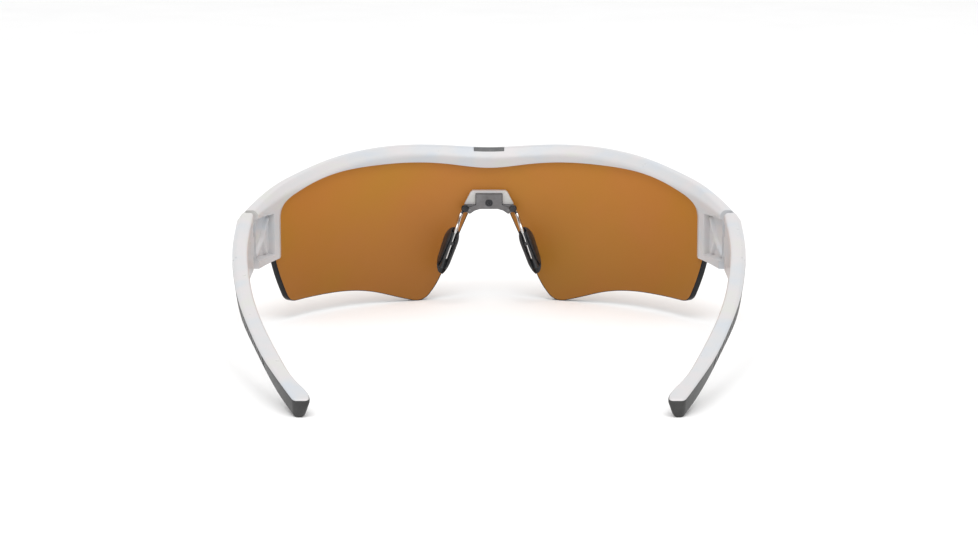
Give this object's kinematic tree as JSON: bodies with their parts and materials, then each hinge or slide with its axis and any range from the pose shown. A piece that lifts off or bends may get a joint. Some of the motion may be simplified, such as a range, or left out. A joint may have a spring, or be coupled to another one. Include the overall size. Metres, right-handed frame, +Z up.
{
  "type": "wraparound sport sunglasses",
  "caption": "Half-rim wraparound sport sunglasses: one-piece curved shield lens under a white brow, folding temples with rubber grips, and adjustable nose pads on wire arms.",
  "frame": {"origin": "on the surface that the open sunglasses stand on, below the middle of the whole object", "axes": "+Z up; the lens faces -Y and the temples run back to +Y; +X is the wearer's left"},
  "size_m": [0.1408, 0.1527, 0.0462],
  "materials": {
    "frame_white": "satin pearl white injection moulding",
    "lens_amber": "mirror-coated amber polycarbonate, dark cut edge",
    "inlay_grey": "fine matte",
    "plate_metal": "bead-blasted grey metal",
    "dark_steel": "black oxide",
    "brass_insert": "turned",
    "grip_rubber": "fine-textured soft rubber",
    "bush_steel": "turned stainless steel",
    "wire_steel": "polished nickel silver wire",
    "pad_rubber": "soft satin rubber",
    "sleeve_plastic": "moulded"
  },
  "bodies": {
    "front": {"front_frame": "frame_white", "shield_lens": "lens_amber", "brow_inlay": "inlay_grey", "bridge_base": "frame_white", "bridge_plate": "plate_metal", "bridge_screw": "dark_steel", "bridge_insert": "brass_insert", "hinge_screws": "bush_steel", "hinge_nuts": "bush_steel", "arm_rivets": "dark_steel"},
    "left_temple": {"left_temple_core": "frame_white", "left_temple_grip": "grip_rubber", "left_hinge_bush": "bush_steel"},
    "right_temple": {"right_temple_core": "frame_white", "right_temple_grip": "grip_rubber", "right_hinge_bush": "bush_steel"},
    "left_arm": {"left_pad_arm": "wire_steel"},
    "right_arm": {"right_pad_arm": "wire_steel"},
    "left_pad": {"left_nose_pad": "pad_rubber", "left_pad_sleeve": "sleeve_plastic"},
    "right_pad": {"right_nose_pad": "pad_rubber", "right_pad_sleeve": "sleeve_plastic"}
  },
  "joints": [
    {"name": "left_temple_fold", "type": "hinge", "parent": "front", "child": "left_temple", "pos_m": [0.0674, -0.0213, 0.0245], "axis": [0, 0, 1], "range_deg": [0, 94]},
    {"name": "right_temple_fold", "type": "hinge", "parent": "front", "child": "right_temple", "pos_m": [-0.0674, -0.0213, 0.0245], "axis": [0, 0, -1], "range_deg": [0, 82]},
    {"name": "left_arm_bend", "type": "hinge", "parent": "front", "child": "left_arm", "pos_m": [0.0071, -0.0686, 0.0273], "axis": [0, 1, 0], "range_deg": [-10, 10]},
    {"name": "right_arm_bend", "type": "hinge", "parent": "front", "child": "right_arm", "pos_m": [-0.0071, -0.0686, 0.0273], "axis": [0, -1, 0], "range_deg": [-10, 10]},
    {"name": "left_pad_swivel", "type": "hinge", "parent": "left_arm", "child": "left_pad", "pos_m": [0.0099, -0.0625, 0.0213], "axis": [0.3314, 0.1275, -0.9348], "range_deg": [-12, 12]},
    {"name": "right_pad_swivel", "type": "hinge", "parent": "right_arm", "child": "right_pad", "pos_m": [-0.0099, -0.0625, 0.0213], "axis": [0.3314, -0.1275, 0.9348], "range_deg": [-12, 12]}
  ]
}
